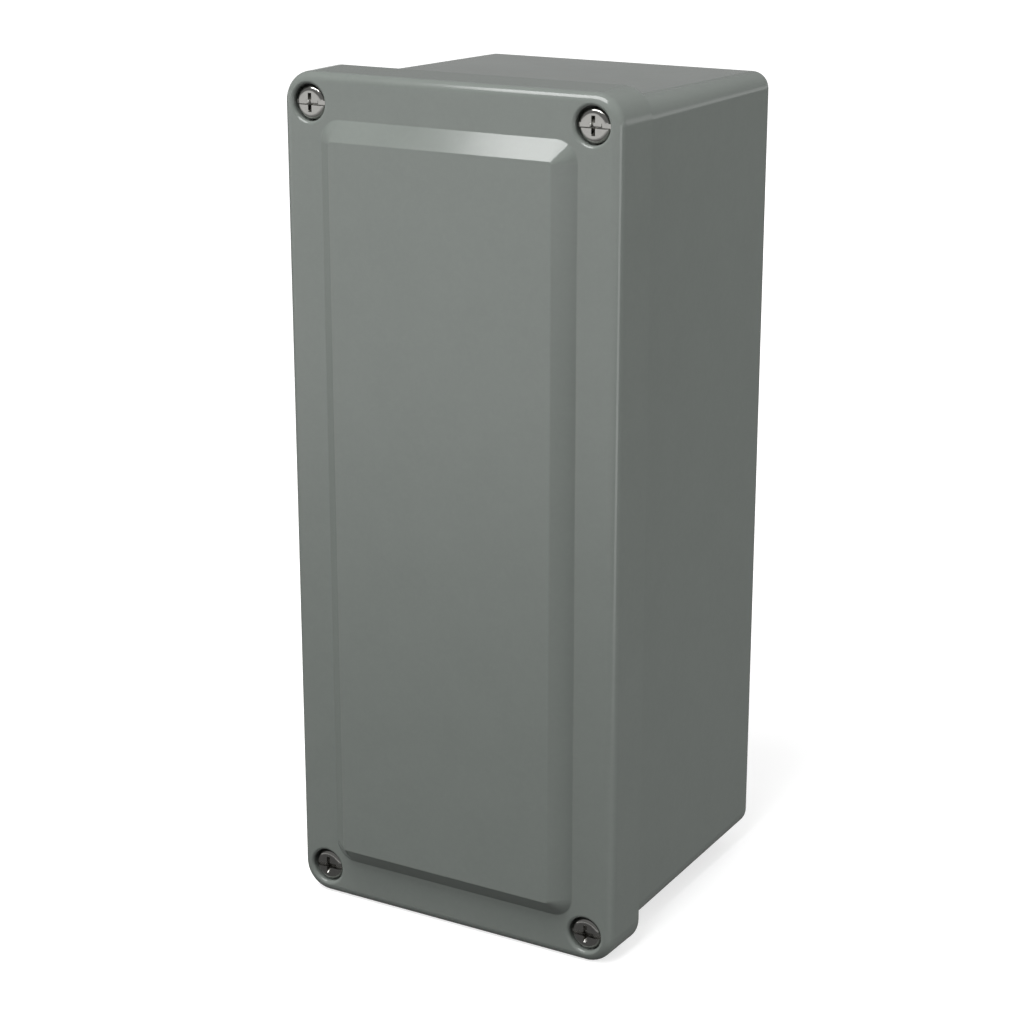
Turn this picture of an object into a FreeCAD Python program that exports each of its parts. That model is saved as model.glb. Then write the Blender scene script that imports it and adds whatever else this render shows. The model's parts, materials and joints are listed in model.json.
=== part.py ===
import FreeCAD, Part
import math
import os

# A blank moulded enclosure for pushbuttons: a deep box and a pan-shaped cover that laps over its rim.
# Millimetres. X runs across the front, Z is up and the front looks towards -Y.
# The origin is under the middle of the box, at the height of the cover's lower edge.
# Depths are measured backwards from the flat margin of the cover's face.

# Cover, outside
cover_width = 101.6
cover_height = 236.5
cover_depth = 16.7
cover_draft = 0.75
cover_corner_r = 8.3
cover_edge_r = 2.7

# Raised panel on the cover
panel_margin = 12.2
panel_bevel = 5.15
panel_raise = 4.4
panel_corner_r = 0.8
panel_edge_r = 0.5

# Cover, inside
cover_plate = 3.2
skirt_wall = 2.6
skirt_bevel = 0.5
land_height = 3.8
land_width = 5.8
land_pad_r = 7.0

# Gasket
gasket_thickness = 2.0
gasket_width = 5.2
gasket_gap = 0.4
gasket_pad_r = 6.6
gasket_hole_r = 4.6

# Base
base_depth = 89.4
base_inset = 3.3
base_draft = 1.0
base_corner_r = 4.7
base_edge_r = 4.2
base_wall = 3.2
base_back = 3.4
pillar_r = 5.6
web_fillet_r = 3.0
floor_bevel = 1.6

# Cover screws, number 10 with 32 threads to the inch, and what sits round them
screw_margin = 8.35
thread_r = 2.41
screw_length = 15.9
screw_point = 1.0
head_r = 4.55
head_height = 2.8
head_flat_r = 2.9
head_dome = 0.95
head_sink = 0.7
slot_width = 1.25
slot_depth = 1.05
cross_length = 5.0
cross_foot = 2.2
cross_width = 1.0
cross_depth = 2.1
washer_thickness = 0.6
washer_r = 4.5
washer_clearance = 0.08
counterbore_r = 4.9
counterbore_rim_r = 1.0
cover_hole_r = 2.65
retainer_r = 4.2
retainer_thickness = 1.0
thread_clearance = 0.04

# Brass inserts
insert_r = 3.175
cover_insert_length = 11.1
screw_room = 2.0
mounting_insert_length = 9.5
mounting_spacing_x = 60.0
mounting_spacing_z = 200.0
mounting_boss_r = 6.0
mounting_boss_cap = 1.9
boss_foot = 1.5

# Overlap that carries a cutting tool past the face it opens
over = 1.0

# Places worked out from the sizes above
land_depth = cover_plate + land_height
rim_depth = land_depth + gasket_thickness
back_depth = rim_depth + base_depth
floor_depth = back_depth - base_back
counterbore_depth = head_sink + head_height + washer_thickness
under_head = head_sink + head_height
face_y = panel_raise - (panel_raise + back_depth) / 2
mid_z = cover_height / 2
screw_x = cover_width / 2 - screw_margin
screw_z = cover_height / 2 - screw_margin
corners = (
    ("top_left", -1, 1),
    ("top_right", 1, 1),
    ("bottom_left", -1, -1),
    ("bottom_right", 1, -1),
)


def lean(depth_run, degrees):
    """Sideways run of a drafted wall over a depth."""
    return depth_run * math.tan(math.radians(degrees))


def cover_lean(depth):
    """How far the cover's side has drawn in at a depth, from its widest at the skirt's rear edge."""
    return lean(cover_depth - depth, cover_draft)


def base_half(size, depth):
    """Half of the base's outer width or height at a depth."""
    return size / 2 - base_inset - lean(depth - cover_depth, base_draft)


def round_arc(centre, radius, start, end):
    """Start, middle and end of the shorter arc round a centre, in the plane of an outline."""
    away = (start[0] + end[0] - 2 * centre[0], start[1] + end[1] - 2 * centre[1])
    reach = radius / math.hypot(away[0], away[1])
    middle = (centre[0] + away[0] * reach, centre[1] + away[1] * reach)
    return start, middle, end


def plain_corner(half_w, half_h, radius):
    """One quarter-round corner, as the arcs of the upper right quarter of an outline."""
    centre = (half_w - radius, half_h - radius)
    return [round_arc(centre, radius, (half_w, centre[1]), (centre[0], half_h))]


def padded_corner(half_w, half_h, pad_r):
    """A corner that runs round a pad on the screw's axis and blends into both walls."""
    reach = pad_r + web_fillet_r
    side_centre = (half_w - web_fillet_r, 0.0)
    side_drop = math.sqrt(reach ** 2 - (side_centre[0] - screw_x) ** 2)
    side_centre = (side_centre[0], screw_z - side_drop)
    top_centre = (0.0, half_h - web_fillet_r)
    top_drop = math.sqrt(reach ** 2 - (top_centre[1] - screw_z) ** 2)
    top_centre = (screw_x - top_drop, top_centre[1])
    pad = (screw_x, screw_z)
    side_touch = toward(pad, side_centre, pad_r)
    top_touch = toward(pad, top_centre, pad_r)
    return [
        round_arc(side_centre, web_fillet_r, (half_w, side_centre[1]), side_touch),
        round_arc(pad, pad_r, side_touch, top_touch),
        round_arc(top_centre, web_fillet_r, top_touch, (top_centre[0], half_h)),
    ]


def toward(start, target, distance):
    """The point a distance along the way from one point to another."""
    gap = math.hypot(target[0] - start[0], target[1] - start[1])
    share = distance / gap
    return start[0] + (target[0] - start[0]) * share, start[1] + (target[1] - start[1]) * share


def outline(quarter, depth):
    """Closed outline across the box at a depth: a quarter's arcs mirrored four ways, with straight sides."""
    def place(point, sign_x, sign_z):
        return FreeCAD.Vector(point[0] * sign_x, face_y + depth, mid_z + point[1] * sign_z)

    arcs = []
    for sign_x, sign_z in ((1, 1), (-1, 1), (-1, -1), (1, -1)):
        turned_arcs = [[place(p, sign_x, sign_z) for p in points] for points in quarter]
        if sign_x * sign_z < 0:
            turned_arcs = [points[::-1] for points in turned_arcs[::-1]]
        arcs.extend(turned_arcs)
    edges = []
    for number, points in enumerate(arcs):
        edges.append(Part.Arc(points[0], points[1], points[2]).toShape())
        start_of_next = arcs[(number + 1) % len(arcs)][0]
        if points[2].distanceToPoint(start_of_next) > 1e-6:
            edges.append(Part.LineSegment(points[2], start_of_next).toShape())
    return Part.Wire(edges)


def drafted(*outlines):
    """Solid with straight walls from each outline to the next."""
    return Part.makeLoft(list(outlines), True, True)


def straight(quarter, front_depth, back_depth_end):
    """Solid of one section from one depth to another."""
    face = Part.Face(outline(quarter, front_depth))
    return face.extrude(FreeCAD.Vector(0, back_depth_end - front_depth, 0))


def edges_across(shape, depth, reach_x=None):
    """Edges that lie wholly at one depth, and where a reach is given, within it of the middle."""
    found = []
    for edge in shape.Edges:
        box = edge.BoundBox
        flat = abs(box.YMin - face_y - depth) < 1e-4 and abs(box.YMax - face_y - depth) < 1e-4
        inside = reach_x is None or max(abs(box.XMin), abs(box.XMax)) < reach_x
        if flat and inside:
            found.append(edge)
    return found


def turned(steps, x, z):
    """Solid turned about an axis along Y at x, z. Steps are (radius, depth) points, or three for an arc."""
    def place(point):
        return FreeCAD.Vector(x + point[0], face_y + point[1], z)

    edges = []
    last = steps[0]
    for step in steps[1:] + steps[:1]:
        if len(step) == 3:
            edges.append(Part.Arc(place(last), place(step[1]), place(step[2])).toShape())
            last = step[2]
        elif place(last).distanceToPoint(place(step)) > 1e-6:
            edges.append(Part.LineSegment(place(last), place(step)).toShape())
            last = step
    face = Part.Face(Part.Wire(edges))
    return face.revolve(FreeCAD.Vector(x, 0, z), FreeCAD.Vector(0, 1, 0), 360)


def quarter_arc(centre, radius, start_angle, end_angle):
    """Three points of an arc in a turned profile, angles in degrees from the outward radius."""
    points = []
    for angle in (start_angle, (start_angle + end_angle) / 2, end_angle):
        turn = math.radians(angle)
        points.append((centre[0] + radius * math.cos(turn), centre[1] + radius * math.sin(turn)))
    return tuple(points)


def tube(outer_r, inner_r, front_depth, rear_depth, x, z):
    """Plain ring or sleeve about an axis along Y."""
    return turned([(inner_r, front_depth), (outer_r, front_depth), (outer_r, rear_depth), (inner_r, rear_depth)], x, z)


def raised_panel():
    """The block of the raised panel: level top, sides that slope at one angle, conical corners."""
    foot_w = cover_width / 2 - panel_margin
    foot_h = cover_height / 2 - panel_margin
    foot = plain_corner(foot_w, foot_h, panel_corner_r + panel_bevel)
    top = plain_corner(foot_w - panel_bevel, foot_h - panel_bevel, panel_corner_r)
    return drafted(outline(top, -panel_raise), outline(foot, 0.0))


def panel_hollow():
    """The recess behind the raised panel, which leaves the plate's thickness square to every face."""
    slope = math.atan2(panel_raise, panel_bevel)
    shift = cover_plate * math.tan(slope / 2)
    foot_w = cover_width / 2 - panel_margin - shift
    foot_h = cover_height / 2 - panel_margin - shift
    foot = plain_corner(foot_w, foot_h, panel_corner_r + panel_bevel)
    top = plain_corner(foot_w - panel_bevel, foot_h - panel_bevel, panel_corner_r)
    return drafted(outline(top, cover_plate - panel_raise), outline(foot, cover_plate))


def screw_hole(x, z):
    """Counterbore with a rounded rim, and the through hole below it."""
    rim = quarter_arc((counterbore_r + counterbore_rim_r, counterbore_rim_r), counterbore_rim_r, 270, 180)
    return turned([
        (0, -over),
        (counterbore_r + counterbore_rim_r, -over),
        (counterbore_r + counterbore_rim_r, 0),
        rim,
        (counterbore_r, counterbore_depth),
        (cover_hole_r, counterbore_depth),
        (cover_hole_r, land_depth + over),
        (0, land_depth + over),
    ], x, z)


def make_cover():
    """The moulded pan: drafted outside, raised panel, skirt, seat for the gasket and screw holes."""
    half_w = cover_width / 2
    half_h = cover_height / 2
    draw = cover_lean(0)
    front = plain_corner(half_w - draw, half_h - draw, cover_corner_r - draw)
    rear = plain_corner(half_w, half_h, cover_corner_r)
    shell = drafted(outline(front, 0.0), outline(rear, cover_depth))
    shell = shell.makeFillet(cover_edge_r, edges_across(shell, 0.0))
    shell = shell.makeChamfer(min(skirt_bevel, 0.4 * skirt_wall), edges_across(shell, cover_depth))
    shell = shell.fuse(raised_panel()).removeSplitter()
    foot_reach = half_w - panel_margin + panel_edge_r
    shell = shell.makeFillet(
        panel_edge_r, edges_across(shell, -panel_raise) + edges_across(shell, 0.0, foot_reach))

    wall = skirt_wall + cover_lean(land_depth)
    seat = plain_corner(half_w - wall, half_h - wall, cover_corner_r - wall)
    mouth_draw = skirt_wall + cover_lean(cover_depth)
    mouth = plain_corner(half_w - mouth_draw, half_h - mouth_draw, cover_corner_r - mouth_draw)
    shell = shell.cut(drafted(outline(seat, land_depth), outline(mouth, cover_depth)))
    pocket_w = half_w - wall - land_width
    pocket_h = half_h - wall - land_width
    pocket = straight(padded_corner(pocket_w, pocket_h, land_pad_r), cover_plate, land_depth + over)
    shell = shell.cut(pocket).cut(panel_hollow())
    for name, sign_x, sign_z in corners:
        shell = shell.cut(screw_hole(sign_x * screw_x, mid_z + sign_z * screw_z))
    return shell


def make_gasket():
    """Flat frame on the cover's seat, with a pad and a hole round each screw."""
    wall = skirt_wall + cover_lean(land_depth) + gasket_gap
    half_w = cover_width / 2 - wall
    half_h = cover_height / 2 - wall
    frame = straight(plain_corner(half_w, half_h, cover_corner_r - wall), land_depth, rim_depth)
    inside = padded_corner(half_w - gasket_width, half_h - gasket_width, gasket_pad_r)
    frame = frame.cut(straight(inside, land_depth - over, rim_depth + over))
    for name, sign_x, sign_z in corners:
        x = sign_x * screw_x
        z = mid_z + sign_z * screw_z
        frame = frame.cut(tube(gasket_hole_r, 0, land_depth - over, rim_depth + over, x, z))
    return frame


def mounting_boss(x, z):
    """Round boss on the inside of the back, with a sloped foot."""
    top = back_depth - mounting_insert_length - mounting_boss_cap
    return turned([
        (0, top),
        (mounting_boss_r, top),
        (mounting_boss_r, floor_depth - boss_foot),
        (mounting_boss_r + boss_foot, floor_depth),
        (mounting_boss_r + boss_foot, floor_depth + base_back / 2),
        (0, floor_depth + base_back / 2),
    ], x, z)


def make_base():
    """The moulded box: drafted walls, rounded back, corner pillars and the bosses inside its back."""
    draw = lean(base_depth, base_draft)
    rim = plain_corner(base_half(cover_width, rim_depth), base_half(cover_height, rim_depth), base_corner_r + draw)
    back = plain_corner(base_half(cover_width, back_depth), base_half(cover_height, back_depth), base_corner_r)
    box = drafted(outline(rim, rim_depth), outline(back, back_depth))
    box = box.makeFillet(min(base_edge_r, 0.9 * base_corner_r), edges_across(box, back_depth))

    def cavity(depth, inset=0.0):
        inner_w = base_half(cover_width, depth) - base_wall - inset
        inner_h = base_half(cover_height, depth) - base_wall - inset
        pad_r = pillar_r + lean(depth - rim_depth, base_draft) + inset
        return outline(padded_corner(inner_w, inner_h, pad_r), depth)

    bevel_start = floor_depth - floor_bevel
    room = drafted(cavity(rim_depth - over), cavity(bevel_start), cavity(floor_depth, floor_bevel))
    box = box.cut(room)
    for name, sign_x, sign_z in corners:
        x = sign_x * mounting_spacing_x / 2
        z = mid_z + sign_z * mounting_spacing_z / 2
        box = box.fuse(mounting_boss(x, z))
        box = box.cut(tube(insert_r, 0, back_depth - mounting_insert_length, back_depth + over, x, z))
        x = sign_x * screw_x
        z = mid_z + sign_z * screw_z
        hole_end = rim_depth + cover_insert_length + screw_room
        box = box.cut(tube(insert_r, 0, rim_depth - over, hole_end, x, z))
    return box.removeSplitter()


def make_screw(x, z):
    """Pan-head screw with a slot across the head and a tapered cross recess."""
    run = head_r - head_flat_r
    rise = min(head_dome, run)
    bend_r = (run ** 2 + rise ** 2) / (2 * rise)
    end = math.degrees(math.asin(run / bend_r)) - 90
    dome = quarter_arc((head_flat_r, head_sink + bend_r), bend_r, -90, end)
    tip = under_head + screw_length
    screw = turned([
        (0, head_sink),
        (head_flat_r, head_sink),
        dome,
        (head_r, under_head),
        (thread_r, under_head),
        (thread_r, tip - screw_point),
        (thread_r - screw_point / 2, tip),
        (0, tip),
    ], x, z)
    top_y = face_y + head_sink
    slot = Part.makeBox(
        2 * head_r + 2 * over, slot_depth + over, slot_width,
        FreeCAD.Vector(x - head_r - over, top_y - over, z - slot_width / 2))
    screw = screw.cut(slot)
    arm = Part.makePolygon([
        FreeCAD.Vector(x - cross_width / 2, top_y, z - cross_length / 2),
        FreeCAD.Vector(x - cross_width / 2, top_y, z + cross_length / 2),
        FreeCAD.Vector(x - cross_width / 2, top_y + cross_depth, z + cross_foot / 2),
        FreeCAD.Vector(x - cross_width / 2, top_y + cross_depth, z - cross_foot / 2),
        FreeCAD.Vector(x - cross_width / 2, top_y, z - cross_length / 2),
    ])
    arm = Part.Face(arm).extrude(FreeCAD.Vector(cross_width, 0, 0))
    level_arm = arm.copy()
    level_arm.rotate(FreeCAD.Vector(x, 0, z), FreeCAD.Vector(0, 1, 0), 90)
    return screw.cut(arm).cut(level_arm)


def make_parts():
    """Every piece by its name."""
    parts = {"base": make_base(), "cover": make_cover(), "gasket": make_gasket()}
    bore_r = thread_r + thread_clearance
    for name, sign_x, sign_z in corners:
        x = sign_x * screw_x
        z = mid_z + sign_z * screw_z
        parts["cover_screw_" + name] = make_screw(x, z)
        parts["screw_washer_" + name] = tube(
            washer_r, thread_r + washer_clearance, under_head, counterbore_depth, x, z)
        parts["screw_retainer_" + name] = tube(
            retainer_r, bore_r, land_depth, land_depth + retainer_thickness, x, z)
        parts["cover_insert_" + name] = tube(
            insert_r, bore_r, rim_depth, rim_depth + cover_insert_length, x, z)
        x = sign_x * mounting_spacing_x / 2
        z = mid_z + sign_z * mounting_spacing_z / 2
        parts["mounting_insert_" + name] = tube(
            insert_r, bore_r, back_depth - mounting_insert_length, back_depth, x, z)
    return parts


os.makedirs("parts", exist_ok=True)
for node, shape in make_parts().items():
    shape.exportStep("parts/" + node + ".step")
    print(node, "valid", shape.isValid(), "solids", len(shape.Solids), "volume", round(shape.Volume, 2))
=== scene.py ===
import bmesh
import bpy
import json
import math
import numpy as np
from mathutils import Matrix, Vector


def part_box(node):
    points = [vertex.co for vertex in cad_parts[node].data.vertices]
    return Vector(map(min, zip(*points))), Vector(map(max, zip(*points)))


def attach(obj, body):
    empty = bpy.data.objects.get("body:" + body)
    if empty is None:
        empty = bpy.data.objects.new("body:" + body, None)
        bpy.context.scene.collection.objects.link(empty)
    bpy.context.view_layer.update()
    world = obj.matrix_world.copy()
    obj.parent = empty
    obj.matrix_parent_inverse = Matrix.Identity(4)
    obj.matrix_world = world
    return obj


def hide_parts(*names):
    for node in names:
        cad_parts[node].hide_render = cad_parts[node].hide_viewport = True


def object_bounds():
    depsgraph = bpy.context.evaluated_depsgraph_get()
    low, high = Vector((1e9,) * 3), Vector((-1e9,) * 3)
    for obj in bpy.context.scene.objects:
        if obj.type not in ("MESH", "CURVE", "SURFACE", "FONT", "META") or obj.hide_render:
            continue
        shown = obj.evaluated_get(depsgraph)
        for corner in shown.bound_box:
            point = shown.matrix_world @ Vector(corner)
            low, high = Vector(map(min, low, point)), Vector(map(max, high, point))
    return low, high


# Looks of a blank moulded pushbutton enclosure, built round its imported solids.
# Places in the studio are metres in the row's frame, and sizes of pieces and patterns are millimetres.
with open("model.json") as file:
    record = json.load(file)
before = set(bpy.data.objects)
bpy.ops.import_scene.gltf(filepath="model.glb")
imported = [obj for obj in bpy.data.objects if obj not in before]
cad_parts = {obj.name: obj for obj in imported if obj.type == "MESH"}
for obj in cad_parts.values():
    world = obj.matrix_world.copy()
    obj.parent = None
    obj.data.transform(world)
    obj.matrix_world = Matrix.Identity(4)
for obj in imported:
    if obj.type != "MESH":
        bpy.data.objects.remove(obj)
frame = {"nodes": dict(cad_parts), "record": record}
cad_low, cad_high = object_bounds()

mm = 0.001
corners = ("top_left", "top_right", "bottom_left", "bottom_right")

# Thread of number 10 screws, 32 to the inch. Half of its crest, and the start of its root as measured from
# the crest's middle, are shares of the pitch.
pitch = 25.4 / 32
thread_crest_r = 2.41
thread_root_r = 1.95
thread_crest_half = 1 / 16
thread_root_start = 3 / 8
thread_slack = 0.07

# Screw's head
head_height = 2.8
head_dome = 0.95
head_flat_r = 2.9
head_under_r = 0.25
head_under_bevel = 0.12
slot_half = 0.625
slot_depth = 1.05
cross_half = 0.5
cross_half_length = 2.5
cross_half_foot = 1.1
cross_depth = 2.1
cut_edge = 0.05

# Screw's shank; at the point a share of the thread's depth is left
plain_neck = 1.2
point_length = 1.0
point_r = 1.75
point_run_out = pitch / 2
point_thread_left = 0.35
point_closing_r = 1e-6

# Brass inserts, with a knurl that leaves plain lands at both ends and a plain waist between them
insert_r = 3.175
insert_minor_r = 2.12
insert_bore_r = 2.45
mouth_chamfer = 0.25
mouth_flare = 0.05
knurl_teeth = 36
knurl_depth = 0.22
knurl_land = 1.2
knurl_fade = 0.3
waist_half = 0.5
waist_half_outer = 0.9

# Grids of the screws and inserts
rows_per_pitch = 10
insert_steps = 4 * knurl_teeth
insert_rows = 25
head_square_share = 0.62
head_rings = 9
head_lines = (0.22, 0.95, 1.1, 1.4, 1.7, 2.0, 2.25)
edge_lines = (-1, -0.4, 0.4, 1)
doubles_gap = 1e-4
sharp_degrees = 40

# Sizes of the patterns in the finishes. The grain, the scuffs and the tool marks are under a tenth of a
# millimetre on real pieces, and are drawn as coarse as they need to show.
fibre_patch = 14
fibre_bundle = 2.2
mould_grain = 0.5
skin_wave = 4.5
foam_cell = 0.55
rubber_wrinkle = 0.8
nylon_cloud = 2.5
steel_patch = 1.6
steel_scuff = 0.18
brass_patch = 2.0
brass_mark = 0.15

# Camera, found from the cover's outline in the photograph
camera_place = (0.32553, -0.56462, 0.31200)
camera_ahead = Vector((-0.48581888, 0.82230275, -0.29630761))
camera_lens_mm = 84.27
camera_sensor_mm = 36.0

# Floor: half of its side, and the ways in which the white parts of its painted reflection lie, the glow
# towards the front and the strip that paints a highlight on the cover's right edge
floor_reach = 6.0
painted_light_way = (-0.17, -0.98, 0.0)
painted_highlight_way = (0.97, -0.243, 0.0)
white = "#ffffff"


def linear(hex_colour):
    """Linear colour with full alpha, from an sRGB hex value."""
    channels = [int(hex_colour[i:i + 2], 16) / 255 for i in (1, 3, 5)]
    return [c / 12.92 if c <= 0.04045 else ((c + 0.055) / 1.055) ** 2.4 for c in channels] + [1.0]


def add_node(tree, kind, settings, inputs):
    """Adds a node. Settings are its own properties, and inputs are values or outputs by socket name or
    number."""
    made = tree.nodes.new(kind)
    for name, value in settings.items():
        setattr(made, name, value)
    for name, value in inputs.items():
        if isinstance(value, bpy.types.NodeSocket):
            tree.links.new(value, made.inputs[name])
        else:
            made.inputs[name].default_value = value
    return made


def new_material(name):
    """A material with only an output node, its node tree, that output and the piece's own coordinates."""
    material = bpy.data.materials.new(name)
    material.use_nodes = True
    tree = material.node_tree
    tree.nodes.clear()
    output = tree.nodes.new("ShaderNodeOutputMaterial")
    place = add_node(tree, "ShaderNodeTexCoord", {}, {}).outputs["Object"]
    return material, tree, output, place


def per_metre(size_mm):
    """Scale of a noise whose cells are about that many millimetres across."""
    return 1000 / size_mm


def moulded_polyester():
    """Glass-filled polyester, compression moulded in grey: an even grey with a soft gloss, whose highlights
    waver a little over the slow waves of the moulded skin, a fine grain from the mould, and a very faint
    cloudiness where the short fibres lie denser."""
    material, tree, output, place = new_material("moulded_polyester")
    cloud = add_node(tree, "ShaderNodeTexNoise", {}, {
        "Vector": place, "Scale": per_metre(fibre_patch), "Detail": 3.0, "Roughness": 0.55})
    fibre = add_node(tree, "ShaderNodeTexNoise", {}, {
        "Vector": place, "Scale": per_metre(fibre_bundle), "Detail": 2.0, "Distortion": 1.2})
    grain = add_node(tree, "ShaderNodeTexNoise", {}, {
        "Vector": place, "Scale": per_metre(mould_grain), "Detail": 2.0})
    tint = add_node(tree, "ShaderNodeMix", {"data_type": "RGBA"}, {
        "Factor": cloud.outputs["Fac"], "A": linear("#6a6f6b"), "B": linear("#6e736f")})
    speck = add_node(tree, "ShaderNodeMapRange", {}, {
        "Value": fibre.outputs["Fac"], "From Min": 0.35, "From Max": 0.75, "To Min": 0.0, "To Max": 0.2})
    colour = add_node(tree, "ShaderNodeMix", {"data_type": "RGBA"}, {
        "Factor": speck.outputs["Result"], "A": tint.outputs["Result"], "B": linear("#747975")})
    rough = add_node(tree, "ShaderNodeMapRange", {}, {
        "Value": cloud.outputs["Fac"], "From Min": 0.3, "From Max": 0.7, "To Min": 0.1, "To Max": 0.13})
    slow = add_node(tree, "ShaderNodeTexNoise", {}, {
        "Vector": place, "Scale": per_metre(skin_wave), "Detail": 1.0})
    wave = add_node(tree, "ShaderNodeBump", {}, {
        "Height": slow.outputs["Fac"], "Strength": 0.5, "Distance": 0.015 * mm})
    bump = add_node(tree, "ShaderNodeBump", {}, {
        "Height": grain.outputs["Fac"], "Strength": 0.3, "Distance": 0.005 * mm,
        "Normal": wave.outputs["Normal"]})
    skin = add_node(tree, "ShaderNodeBsdfPrincipled", {}, {
        "Base Color": colour.outputs["Result"], "Roughness": rough.outputs["Result"],
        "IOR": 1.52, "Normal": bump.outputs["Normal"]})
    tree.links.new(skin.outputs["BSDF"], output.inputs["Surface"])
    return material


def cellular_rubber():
    """Closed-cell foam rubber, cut from sheet: near black and dull, pitted all over by its small cells,
    whose hollow middles are drawn darker as painted shade.
    """
    material, tree, output, place = new_material("cellular_rubber")
    cells = add_node(tree, "ShaderNodeTexVoronoi", {}, {"Vector": place, "Scale": per_metre(foam_cell)})
    # Painted shade: each cell's colour is darkest at its middle, where the bump sinks lowest.
    colour = add_node(tree, "ShaderNodeMix", {"data_type": "RGBA"}, {
        "Factor": cells.outputs["Distance"], "A": linear("#1c1c1e"), "B": linear("#34343a")})
    bump = add_node(tree, "ShaderNodeBump", {}, {
        "Height": cells.outputs["Distance"], "Strength": 0.8, "Distance": 0.12 * mm})
    skin = add_node(tree, "ShaderNodeBsdfPrincipled", {}, {
        "Base Color": colour.outputs["Result"], "Roughness": 0.85, "IOR": 1.5,
        "Normal": bump.outputs["Normal"]})
    tree.links.new(skin.outputs["BSDF"], output.inputs["Surface"])
    return material


def pressed_rubber():
    """Solid neoprene, pressed into washers: black, smooth and faintly shiny, with soft wrinkles."""
    material, tree, output, place = new_material("pressed_rubber")
    wrinkle = add_node(tree, "ShaderNodeTexNoise", {}, {
        "Vector": place, "Scale": per_metre(rubber_wrinkle), "Detail": 2.0})
    colour = add_node(tree, "ShaderNodeMix", {"data_type": "RGBA"}, {
        "Factor": wrinkle.outputs["Fac"], "A": linear("#141414"), "B": linear("#222221")})
    bump = add_node(tree, "ShaderNodeBump", {}, {
        "Height": wrinkle.outputs["Fac"], "Strength": 0.4, "Distance": 0.03 * mm})
    skin = add_node(tree, "ShaderNodeBsdfPrincipled", {}, {
        "Base Color": colour.outputs["Result"], "Roughness": 0.5, "IOR": 1.52,
        "Normal": bump.outputs["Normal"]})
    tree.links.new(skin.outputs["BSDF"], output.inputs["Surface"])
    return material


def natural_nylon():
    """Undyed nylon, injection moulded: milky off-white, waxy, and a little see-through at its edges."""
    material, tree, output, place = new_material("natural_nylon")
    cloud = add_node(tree, "ShaderNodeTexNoise", {}, {
        "Vector": place, "Scale": per_metre(nylon_cloud), "Detail": 2.0})
    colour = add_node(tree, "ShaderNodeMix", {"data_type": "RGBA"}, {
        "Factor": cloud.outputs["Fac"], "A": linear("#d9d6c8"), "B": linear("#e6e3d7")})
    bump = add_node(tree, "ShaderNodeBump", {}, {
        "Height": cloud.outputs["Fac"], "Strength": 0.2, "Distance": 0.02 * mm})
    skin = add_node(tree, "ShaderNodeBsdfPrincipled", {}, {
        "Base Color": colour.outputs["Result"], "Roughness": 0.38, "IOR": 1.53,
        "Subsurface Weight": 0.25, "Subsurface Radius": (1.2 * mm, 1.0 * mm, 0.8 * mm),
        "Subsurface Scale": 1.0, "Normal": bump.outputs["Normal"]})
    tree.links.new(skin.outputs["BSDF"], output.inputs["Surface"])
    return material


def bright_stainless():
    """Stainless steel, cold headed and tumbled: bright neutral metal, softly mirrored, with fine random
    scuffs and a slightly duller tone in patches."""
    material, tree, output, place = new_material("bright_stainless")
    patch = add_node(tree, "ShaderNodeTexNoise", {}, {
        "Vector": place, "Scale": per_metre(steel_patch), "Detail": 3.0})
    scuff = add_node(tree, "ShaderNodeTexNoise", {}, {
        "Vector": place, "Scale": per_metre(steel_scuff), "Detail": 2.0, "Distortion": 0.8})
    colour = add_node(tree, "ShaderNodeMix", {"data_type": "RGBA"}, {
        "Factor": patch.outputs["Fac"], "A": linear("#a8a7a4"), "B": linear("#bbbab6")})
    rough = add_node(tree, "ShaderNodeMapRange", {}, {
        "Value": patch.outputs["Fac"], "From Min": 0.3, "From Max": 0.7, "To Min": 0.12, "To Max": 0.18})
    bump = add_node(tree, "ShaderNodeBump", {}, {
        "Height": scuff.outputs["Fac"], "Strength": 0.25, "Distance": 0.01 * mm})
    skin = add_node(tree, "ShaderNodeBsdfPrincipled", {}, {
        "Base Color": colour.outputs["Result"], "Metallic": 1.0, "Roughness": rough.outputs["Result"],
        "Normal": bump.outputs["Normal"]})
    tree.links.new(skin.outputs["BSDF"], output.inputs["Surface"])
    return material


def turned_brass():
    """Free-cutting brass, turned on a lathe: warm yellow metal, dulled by fine tool marks, which are drawn
    as an even roughness without a direction, and slightly browned in patches."""
    material, tree, output, place = new_material("turned_brass")
    patch = add_node(tree, "ShaderNodeTexNoise", {}, {
        "Vector": place, "Scale": per_metre(brass_patch), "Detail": 3.0})
    mark = add_node(tree, "ShaderNodeTexNoise", {}, {
        "Vector": place, "Scale": per_metre(brass_mark), "Detail": 1.0})
    colour = add_node(tree, "ShaderNodeMix", {"data_type": "RGBA"}, {
        "Factor": patch.outputs["Fac"], "A": linear("#b08d4c"), "B": linear("#c9a660")})
    rough = add_node(tree, "ShaderNodeMapRange", {}, {
        "Value": patch.outputs["Fac"], "From Min": 0.3, "From Max": 0.7, "To Min": 0.24, "To Max": 0.36})
    bump = add_node(tree, "ShaderNodeBump", {}, {
        "Height": mark.outputs["Fac"], "Strength": 0.3, "Distance": 0.01 * mm})
    skin = add_node(tree, "ShaderNodeBsdfPrincipled", {}, {
        "Base Color": colour.outputs["Result"], "Metallic": 1.0, "Roughness": rough.outputs["Result"],
        "Normal": bump.outputs["Normal"]})
    tree.links.new(skin.outputs["BSDF"], output.inputs["Surface"])
    return material


def smooth_step(start, end, value):
    """0 before start and 1 after end, with the cubic 3t^2 - 2t^3 between them."""
    t = np.clip((value - start) / (end - start), 0, 1)
    return t * t * (3 - 2 * t)


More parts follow.
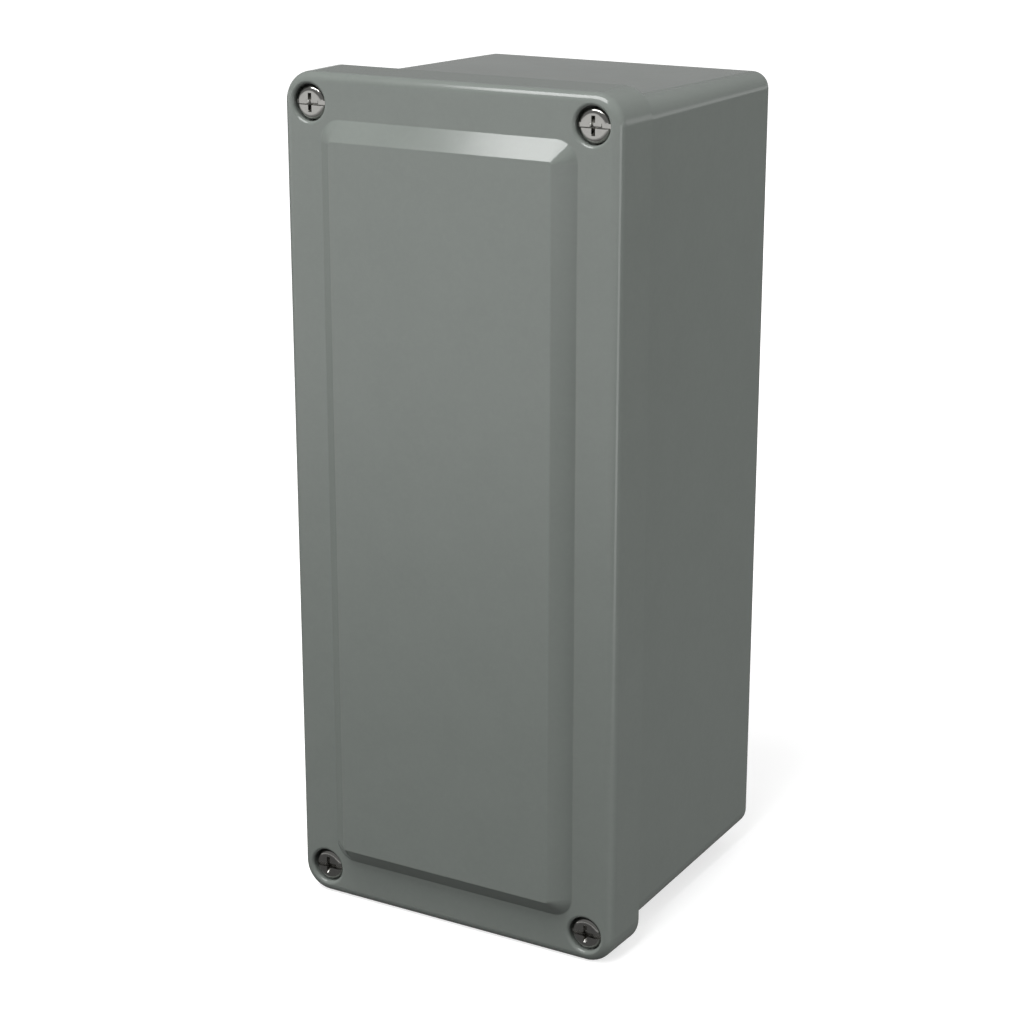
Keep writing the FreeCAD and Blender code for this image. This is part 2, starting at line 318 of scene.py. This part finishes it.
def thread_r(angle, depth):
    """Radius of a right-hand 60 degree thread at an angle round the axis and a depth along it. The phase is
    depth over pitch plus the turn. The radius is the root plus the thread's height times a wave, which is 1
    over an eighth of the phase, 0 over a quarter, and straight between."""
    phase = (depth / pitch + angle / (2 * np.pi)) % 1.0
    from_crest = np.abs(phase - 0.5)
    wave = np.clip((thread_root_start - from_crest) / (thread_root_start - thread_crest_half), 0, 1)
    return thread_root_r + (thread_crest_r - thread_root_r) * wave


def ring_quads(rows, steps, closed=False):
    """Faces of a grid that is wrapped round an axis, and where closed, also from its last row to its
    first."""
    row, step = np.meshgrid(np.arange(rows if closed else rows - 1), np.arange(steps), indexing="ij")
    row_on = (row + 1) % rows
    step_on = (step + 1) % steps
    quads = (row * steps + step, row * steps + step_on, row_on * steps + step_on, row_on * steps + step)
    return np.stack(quads, -1).reshape(-1, 4)


def sheet_quads(rows, columns):
    """Faces of a flat grid."""
    row, column = np.meshgrid(np.arange(rows - 1), np.arange(columns - 1), indexing="ij")
    first = row * columns + column
    return np.stack((first, first + columns, first + columns + 1, first + 1), -1).reshape(-1, 4)


def joined(patches):
    """One array of points and one of faces, from several (points, faces)."""
    points, faces, count = [], [], 0
    for patch_points, patch_faces in patches:
        points.append(patch_points.reshape(-1, 3))
        faces.append(patch_faces + count)
        count += len(points[-1])
    return np.concatenate(points), np.concatenate(faces)


def turned_place(name):
    """Place of a turned solid in millimetres: its axis's x and z, its front and back, and its radius."""
    low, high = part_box(name)
    centre_x = (low.x + high.x) / 2 / mm
    centre_z = (low.z + high.z) / 2 / mm
    return centre_x, centre_z, low.y / mm, high.y / mm, (high.x - low.x) / 2 / mm


def turned_points(centre_x, centre_z, radii, depths, angles):
    """Points of rings round an axis: x is the radius times the angle's cosine, z the radius times its sine
    and y the ring's depth. Radii are a grid of ring by angle."""
    depths = depths[:, None] + 0 * radii
    return np.stack([centre_x + radii * np.cos(angles), depths, centre_z + radii * np.sin(angles)], -1)


def add_piece(name, points, faces, body, material, node):
    """A mesh piece that stands for a node. Points are in millimetres. Doubles are merged, faces point
    outwards, and edges that bend sharply are drawn sharp."""
    mesh = bpy.data.meshes.new(name)
    mesh.from_pydata((points * mm).tolist(), [], faces.tolist())
    work = bmesh.new()
    work.from_mesh(mesh)
    bmesh.ops.remove_doubles(work, verts=work.verts, dist=doubles_gap * mm)
    bmesh.ops.recalc_face_normals(work, faces=work.faces)
    work.to_mesh(mesh)
    work.free()
    mesh.polygons.foreach_set("use_smooth", np.ones(len(mesh.polygons), bool))
    mesh.set_sharp_from_angle(angle=math.radians(sharp_degrees))
    mesh.materials.append(material)
    piece = bpy.data.objects.new(name, mesh)
    bpy.context.scene.collection.objects.link(piece)
    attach(piece, body)
    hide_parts(node)


def cut_lines(half):
    """Grid lines across the screw's head from -half to half, closer together at the edges of its cuts."""
    at_edges = [edge + offset * cut_edge for edge in (cross_half, slot_half) for offset in edge_lines]
    side = np.unique(np.round(at_edges + list(head_lines) + [cross_half_length, half], 4))
    return np.concatenate([-side[::-1], [0.0], side])


def head_depth(x, z, head_r):
    """Depth of the pan head's surface below its flat: the deepest of a dome, the slot and the tapered
    cross. The dome is an arc that leaves the flat without a bend. A cut is its depth times a soft step at
    its edges, and the cross gets shallower in a straight line from its foot to its ends."""
    run = head_r - head_flat_r
    bend_r = (run ** 2 + head_dome ** 2) / (2 * head_dome)
    out = np.clip(np.hypot(x, z) - head_flat_r, 0, run)
    dome = bend_r - np.sqrt(bend_r ** 2 - out ** 2)
    slot = slot_depth * (1 - smooth_step(slot_half - cut_edge, slot_half + cut_edge, np.abs(z)))
    deepest = np.maximum(dome, slot)
    for along, across in ((x, z), (z, x)):
        taper = np.clip((cross_half_length - np.abs(along)) / (cross_half_length - cross_half_foot), 0, 1)
        width = 1 - smooth_step(cross_half - cut_edge, cross_half + cut_edge, np.abs(across))
        deepest = np.maximum(deepest, cross_depth * taper * width)
    return deepest


def head_top(head_r):
    """Top of the head as five grids: a square in the middle and four sides that reach out to the rim. A
    point of a side lies on the straight line from the square's edge to the rim, where lines near the slot
    keep their level and the others spread evenly to the square's corner. Returns the grids, and the angles
    of the rim's points."""
    half = head_square_share * head_r
    lines = cut_lines(half)
    x, z = np.meshgrid(lines, lines, indexing="ij")
    grids = [(x, z)]
    level = slot_half + 2 * cut_edge
    level_angle = math.asin(level / head_r)
    sloped = level_angle + (np.abs(lines) - level) / (half - level) * (math.pi / 4 - level_angle)
    kept = np.arcsin(np.clip(lines / head_r, -1, 1))
    rim = np.where(np.abs(lines) <= level, kept, np.sign(lines) * sloped)
    share = np.linspace(0, 1, head_rings)[:, None]
    out = (1 - share) * half + share * head_r * np.cos(rim)
    along = (1 - share) * lines + share * head_r * np.sin(rim)
    for quarter in range(4):
        turn = quarter * math.pi / 2
        side_x = out * math.cos(turn) - along * math.sin(turn)
        side_z = out * math.sin(turn) + along * math.cos(turn)
        grids.append((side_x, side_z))
    angles = np.concatenate([rim[:-1] + quarter * math.pi / 2 for quarter in range(4)])
    return grids, angles


def screw(name, material):
    """Pan-head screw with a slot, a cross recess and a rolled thread. Below the rim, every ring has the
    rim's angles. The shank's radius goes from the crest down to the thread's, by a share that grows over
    the first pitch and shrinks over the last half pitch."""
    centre_x, centre_z, top, tip, head_r = turned_place(name)
    grids, angles = head_top(head_r)
    patches = []
    for x, z in grids:
        points = np.stack([centre_x + x, top + head_depth(x, z, head_r), centre_z + z], -1)
        patches.append((points, sheet_quads(*x.shape)))
    under = top + head_height
    above = np.array([
        (head_r, top + head_dome),
        (head_r, under - head_under_bevel),
        (head_r - head_under_bevel, under),
        (thread_crest_r + head_under_r, under),
        (thread_crest_r, under + head_under_r),
    ])
    start = under + plain_neck
    end = tip - point_length
    rows = np.linspace(start, end, int((end - start) / pitch * rows_per_pitch))
    run_in = (rows - start) / pitch
    run_out = (end - rows) / point_run_out + point_thread_left
    share = smooth_step(0, 1, np.minimum(run_in, run_out))[:, None]
    threaded = thread_crest_r + (thread_r(angles, rows[:, None]) - thread_crest_r) * share
    point = np.array([(point_r, tip), (point_closing_r, tip)])
    radii = np.concatenate([above[:, :1] + 0 * angles, threaded, point[:, :1] + 0 * angles])
    depths = np.concatenate([above[:, 1], rows, point[:, 1]])
    points = turned_points(centre_x, centre_z, radii, depths, angles)
    patches.append((points, ring_quads(*radii.shape)))
    points, faces = joined(patches)
    body = "screw_" + name.removeprefix("cover_screw_")
    add_piece(name + "_cut", points, faces, body, material, name)


def insert(name, material):
    """Knurled and tapped insert. Its section runs down the outside, in under its foot, up the tapped bore
    and out over its mouth. The outside's radius dips by the knurl's depth as a cosine round the axis, away
    from the plain lands and waist, and the bore follows the screw's thread with its slack."""
    centre_x, centre_z, start, end = turned_place(name)[:4]
    angles = np.arange(insert_steps) * 2 * np.pi / insert_steps
    outer = np.linspace(start, end, insert_rows)
    dip = 0.5 - 0.5 * np.cos(knurl_teeth * angles)
    band = smooth_step(0, knurl_fade, np.minimum(outer - start, end - outer) - knurl_land)
    waist = smooth_step(waist_half, waist_half_outer, np.abs(outer - (start + end) / 2))
    outside = insert_r - knurl_depth * (band * waist)[:, None] * dip
    bore_rows = int((end - start) / pitch * rows_per_pitch)
    bore = np.linspace(end - mouth_chamfer, start + mouth_chamfer, bore_rows)
    tapped = np.clip(thread_r(angles, bore[:, None]) + thread_slack, insert_minor_r, insert_bore_r)
    mouth = np.full((1, insert_steps), insert_bore_r + mouth_flare)
    radii = np.concatenate([outside, mouth, tapped, mouth])
    depths = np.concatenate([outer, [end], bore, [start]])
    points, faces = joined([
        (turned_points(centre_x, centre_z, radii, depths, angles), ring_quads(*radii.shape, closed=True))])
    add_piece(name + "_cut", points, faces, "base", material, name)


def add_pieces():
    """Gives every solid its material, and puts finer pieces in the place of screws and inserts."""
    finishes = {
        "moulded_body": moulded_polyester(),
        "gasket": cellular_rubber(),
        "sealing_washer": pressed_rubber(),
        "nylon_ring": natural_nylon(),
        "stainless_screw": bright_stainless(),
        "brass_insert": turned_brass(),
    }
    for part in frame["record"]["subparts"]:
        node = frame["nodes"][part["node"]]
        node.data.materials.clear()
        node.data.materials.append(finishes[part["material_slot"]])
    for corner in corners:
        screw("cover_screw_" + corner, finishes["stainless_screw"])
        insert("cover_insert_" + corner, finishes["brass_insert"])
        insert("mounting_insert_" + corner, finishes["brass_insert"])


def add_camera():
    """The camera at the photograph's place, upright and turned to look ahead."""
    data = bpy.data.cameras.new("camera")
    data.sensor_width = camera_sensor_mm
    data.lens = camera_lens_mm
    camera = bpy.data.objects.new("camera", data)
    bpy.context.scene.collection.objects.link(camera)
    camera.location = camera_place
    camera.rotation_mode = "QUATERNION"
    camera.rotation_quaternion = camera_ahead.to_track_quat("-Z", "Y")
    bpy.context.scene.camera = camera


def seen_directly(tree, path):
    """1 for rays that show the background itself: from the camera, off gloss or through glass."""
    either = add_node(tree, "ShaderNodeMath", {"operation": "MAXIMUM"}, {
        0: path.outputs["Is Camera Ray"], 1: path.outputs["Is Glossy Ray"]})
    any_of = add_node(tree, "ShaderNodeMath", {"operation": "MAXIMUM"}, {
        0: either.outputs[0], 1: path.outputs["Is Transmission Ray"]})
    return any_of.outputs[0]


def painted_reflection_floor(tree, place):
    """Painted reflection: what gloss sees of the floor is a glow, dark grey round the box and behind it as
    painted shade, white towards the front, and a glowing white strip that starts at the cover's right edge
    and paints a thin highlight along it."""
    frontward = add_node(tree, "ShaderNodeVectorMath", {"operation": "DOT_PRODUCT"}, {
        0: place, 1: painted_light_way})
    # Painted reflection: the glow is dark grey near the box as painted shade and white towards the front.
    painted_light_mask = add_node(tree, "ShaderNodeMapRange", {"interpolation_type": "SMOOTHSTEP"}, {
        "Value": frontward.outputs["Value"],
        "From Min": 0.08, "From Max": 0.7, "To Min": 0.12, "To Max": 0.9})
    from_edge = add_node(tree, "ShaderNodeVectorMath", {"operation": "SUBTRACT"}, {
        0: place, 1: (cad_high.x, cad_low.y, cad_low.z)})
    heading = add_node(tree, "ShaderNodeVectorMath", {"operation": "NORMALIZE"}, {
        0: from_edge.outputs["Vector"]})
    rightward = add_node(tree, "ShaderNodeVectorMath", {"operation": "DOT_PRODUCT"}, {
        0: heading.outputs["Vector"], 1: painted_highlight_way})
    # Painted highlight: a glowing strip seen only in gloss, which draws a thin bright line along the
    # cover's right edge.
    painted_highlight_strip = add_node(tree, "ShaderNodeMapRange", {"interpolation_type": "SMOOTHSTEP"}, {
        "Value": rightward.outputs["Value"],
        "From Min": 0.966, "From Max": 0.985, "To Min": 0.0, "To Max": 1.0})
    apart = add_node(tree, "ShaderNodeVectorMath", {"operation": "LENGTH"}, {
        0: from_edge.outputs["Vector"]})
    fade = add_node(tree, "ShaderNodeMapRange", {}, {
        "Value": apart.outputs["Value"],
        "From Min": 0.1, "From Max": 0.5, "To Min": 0.5, "To Max": 2.2})
    faded = add_node(tree, "ShaderNodeMath", {"operation": "MULTIPLY"}, {
        0: painted_highlight_strip.outputs["Result"], 1: fade.outputs["Result"]})
    painted_reflection_strength = add_node(tree, "ShaderNodeMath", {"operation": "MAXIMUM"}, {
        0: painted_light_mask.outputs["Result"], 1: faded.outputs[0]})
    return add_node(tree, "ShaderNodeEmission", {}, {
        "Color": linear(white), "Strength": painted_reflection_strength.outputs[0]})


def add_floor():
    """Plain pale floor under the box. The camera sees it white, with the box's shadow, and far parts glow
    more, so that it meets the backdrop unseen.
    Gloss and glass see a painted reflection on it instead, with painted shade round the box and a glowing
    strip that paints a highlight on the cover's edge. It throws less light back up than it shows."""
    material, tree, output, place = new_material("floor_paper")
    path = add_node(tree, "ShaderNodeLightPath", {}, {})
    away = add_node(tree, "ShaderNodeVectorMath", {"operation": "LENGTH"}, {0: place})
    far_glow = add_node(tree, "ShaderNodeMapRange", {}, {
        "Value": away.outputs["Value"], "From Min": 0.4, "From Max": 1.6, "To Min": 0.6, "To Max": 1.0})
    shown = add_node(tree, "ShaderNodeBsdfDiffuse", {}, {"Color": linear("#c8c8c8")})
    glow = add_node(tree, "ShaderNodeEmission", {}, {
        "Color": linear(white), "Strength": far_glow.outputs["Result"]})
    pale = add_node(tree, "ShaderNodeAddShader", {}, {0: shown.outputs[0], 1: glow.outputs[0]})
    # Painted reflection for gloss and glass: painted shade round the box and a painted highlight strip.
    mirrored = painted_reflection_floor(tree, place)
    bounce = add_node(tree, "ShaderNodeBsdfDiffuse", {}, {"Color": linear("#4c4c4c")})
    direct = add_node(tree, "ShaderNodeMixShader", {}, {
        0: path.outputs["Is Camera Ray"], 1: mirrored.outputs[0], 2: pale.outputs[0]})
    mix = add_node(tree, "ShaderNodeMixShader", {}, {
        0: seen_directly(tree, path), 1: bounce.outputs[0], 2: direct.outputs[0]})
    tree.links.new(mix.outputs[0], output.inputs["Surface"])
    level = cad_low.z
    outline = [(-1, -1), (1, -1), (1, 1), (-1, 1)]
    mesh = bpy.data.meshes.new("floor")
    mesh.from_pydata([(x * floor_reach, y * floor_reach, level) for x, y in outline], [], [(0, 1, 2, 3)])
    mesh.materials.append(material)
    floor = bpy.data.objects.new("floor", mesh)
    bpy.context.scene.collection.objects.link(floor)


def add_world():
    """White to the camera. Gloss sees walls that are pale at the floor and grey higher up, and the rest
    is a weak even light."""
    world = bpy.data.worlds.new("studio")
    bpy.context.scene.world = world
    world.use_nodes = True
    tree = world.node_tree
    tree.nodes.clear()
    output = tree.nodes.new("ShaderNodeOutputWorld")
    path = add_node(tree, "ShaderNodeLightPath", {}, {})
    ray_way = add_node(tree, "ShaderNodeTexCoord", {}, {}).outputs["Generated"]
    rise = add_node(tree, "ShaderNodeSeparateXYZ", {}, {0: ray_way})
    wall = add_node(tree, "ShaderNodeMapRange", {"interpolation_type": "SMOOTHSTEP"}, {
        "Value": rise.outputs["Z"], "From Min": 0.0, "From Max": 0.1, "To Min": 0.8, "To Max": 0.22})
    shown = add_node(tree, "ShaderNodeBackground", {}, {"Color": linear(white), "Strength": 1.0})
    mirrored = add_node(tree, "ShaderNodeBackground", {}, {
        "Color": linear(white), "Strength": wall.outputs["Result"]})
    light = add_node(tree, "ShaderNodeBackground", {}, {"Color": linear(white), "Strength": 0.25})
    direct = add_node(tree, "ShaderNodeMixShader", {}, {
        0: path.outputs["Is Camera Ray"], 1: mirrored.outputs[0], 2: shown.outputs[0]})
    mix = add_node(tree, "ShaderNodeMixShader", {}, {
        0: seen_directly(tree, path), 1: light.outputs[0], 2: direct.outputs[0]})
    tree.links.new(mix.outputs[0], output.inputs["Surface"])


def add_softbox(name, place, target, width, height, watts, mirrored):
    """A rectangular lamp that faces a target. The camera never sees it, and gloss only where mirrored."""
    data = bpy.data.lights.new(name, "AREA")
    data.shape = "RECTANGLE"
    data.size = width
    data.size_y = height
    data.energy = watts
    lamp = bpy.data.objects.new(name, data)
    bpy.context.scene.collection.objects.link(lamp)
    lamp.location = place
    lamp.rotation_mode = "QUATERNION"
    lamp.rotation_quaternion = (Vector(target) - Vector(place)).to_track_quat("-Z", "Y")
    lamp.visible_camera = False
    lamp.visible_glossy = mirrored


def add_lights():
    """Soft studio light: a box overhead, which gloss shows, and scattered fill from the front, from the
    right for the box's side, and from the left for the left bevel and edge. One behind lights the back."""
    middle = (cad_low + cad_high) / 2
    add_softbox("overhead", place=(-0.165, -0.45, 1.03), target=(-0.165, 0.0, 0.118),
                width=0.75, height=0.54, watts=9.5, mirrored=True)
    add_softbox("front", place=(-0.1, -0.95, 0.67), target=middle,
                width=0.6, height=0.6, watts=7.8, mirrored=False)
    add_softbox("right", place=(1.05, 0.09, 0.34), target=middle,
                width=0.6, height=0.6, watts=8.0, mirrored=False)
    add_softbox("left", place=(-1.15, -0.32, 0.32), target=middle,
                width=0.3, height=0.9, watts=2.0, mirrored=False)
    add_softbox("behind", place=(0.0, 1.25, 0.55), target=middle,
                width=0.8, height=0.8, watts=6.0, mirrored=False)


add_pieces()
add_camera()
add_floor()
add_world()
add_lights()
bpy.context.scene.view_settings.view_transform = "Standard"
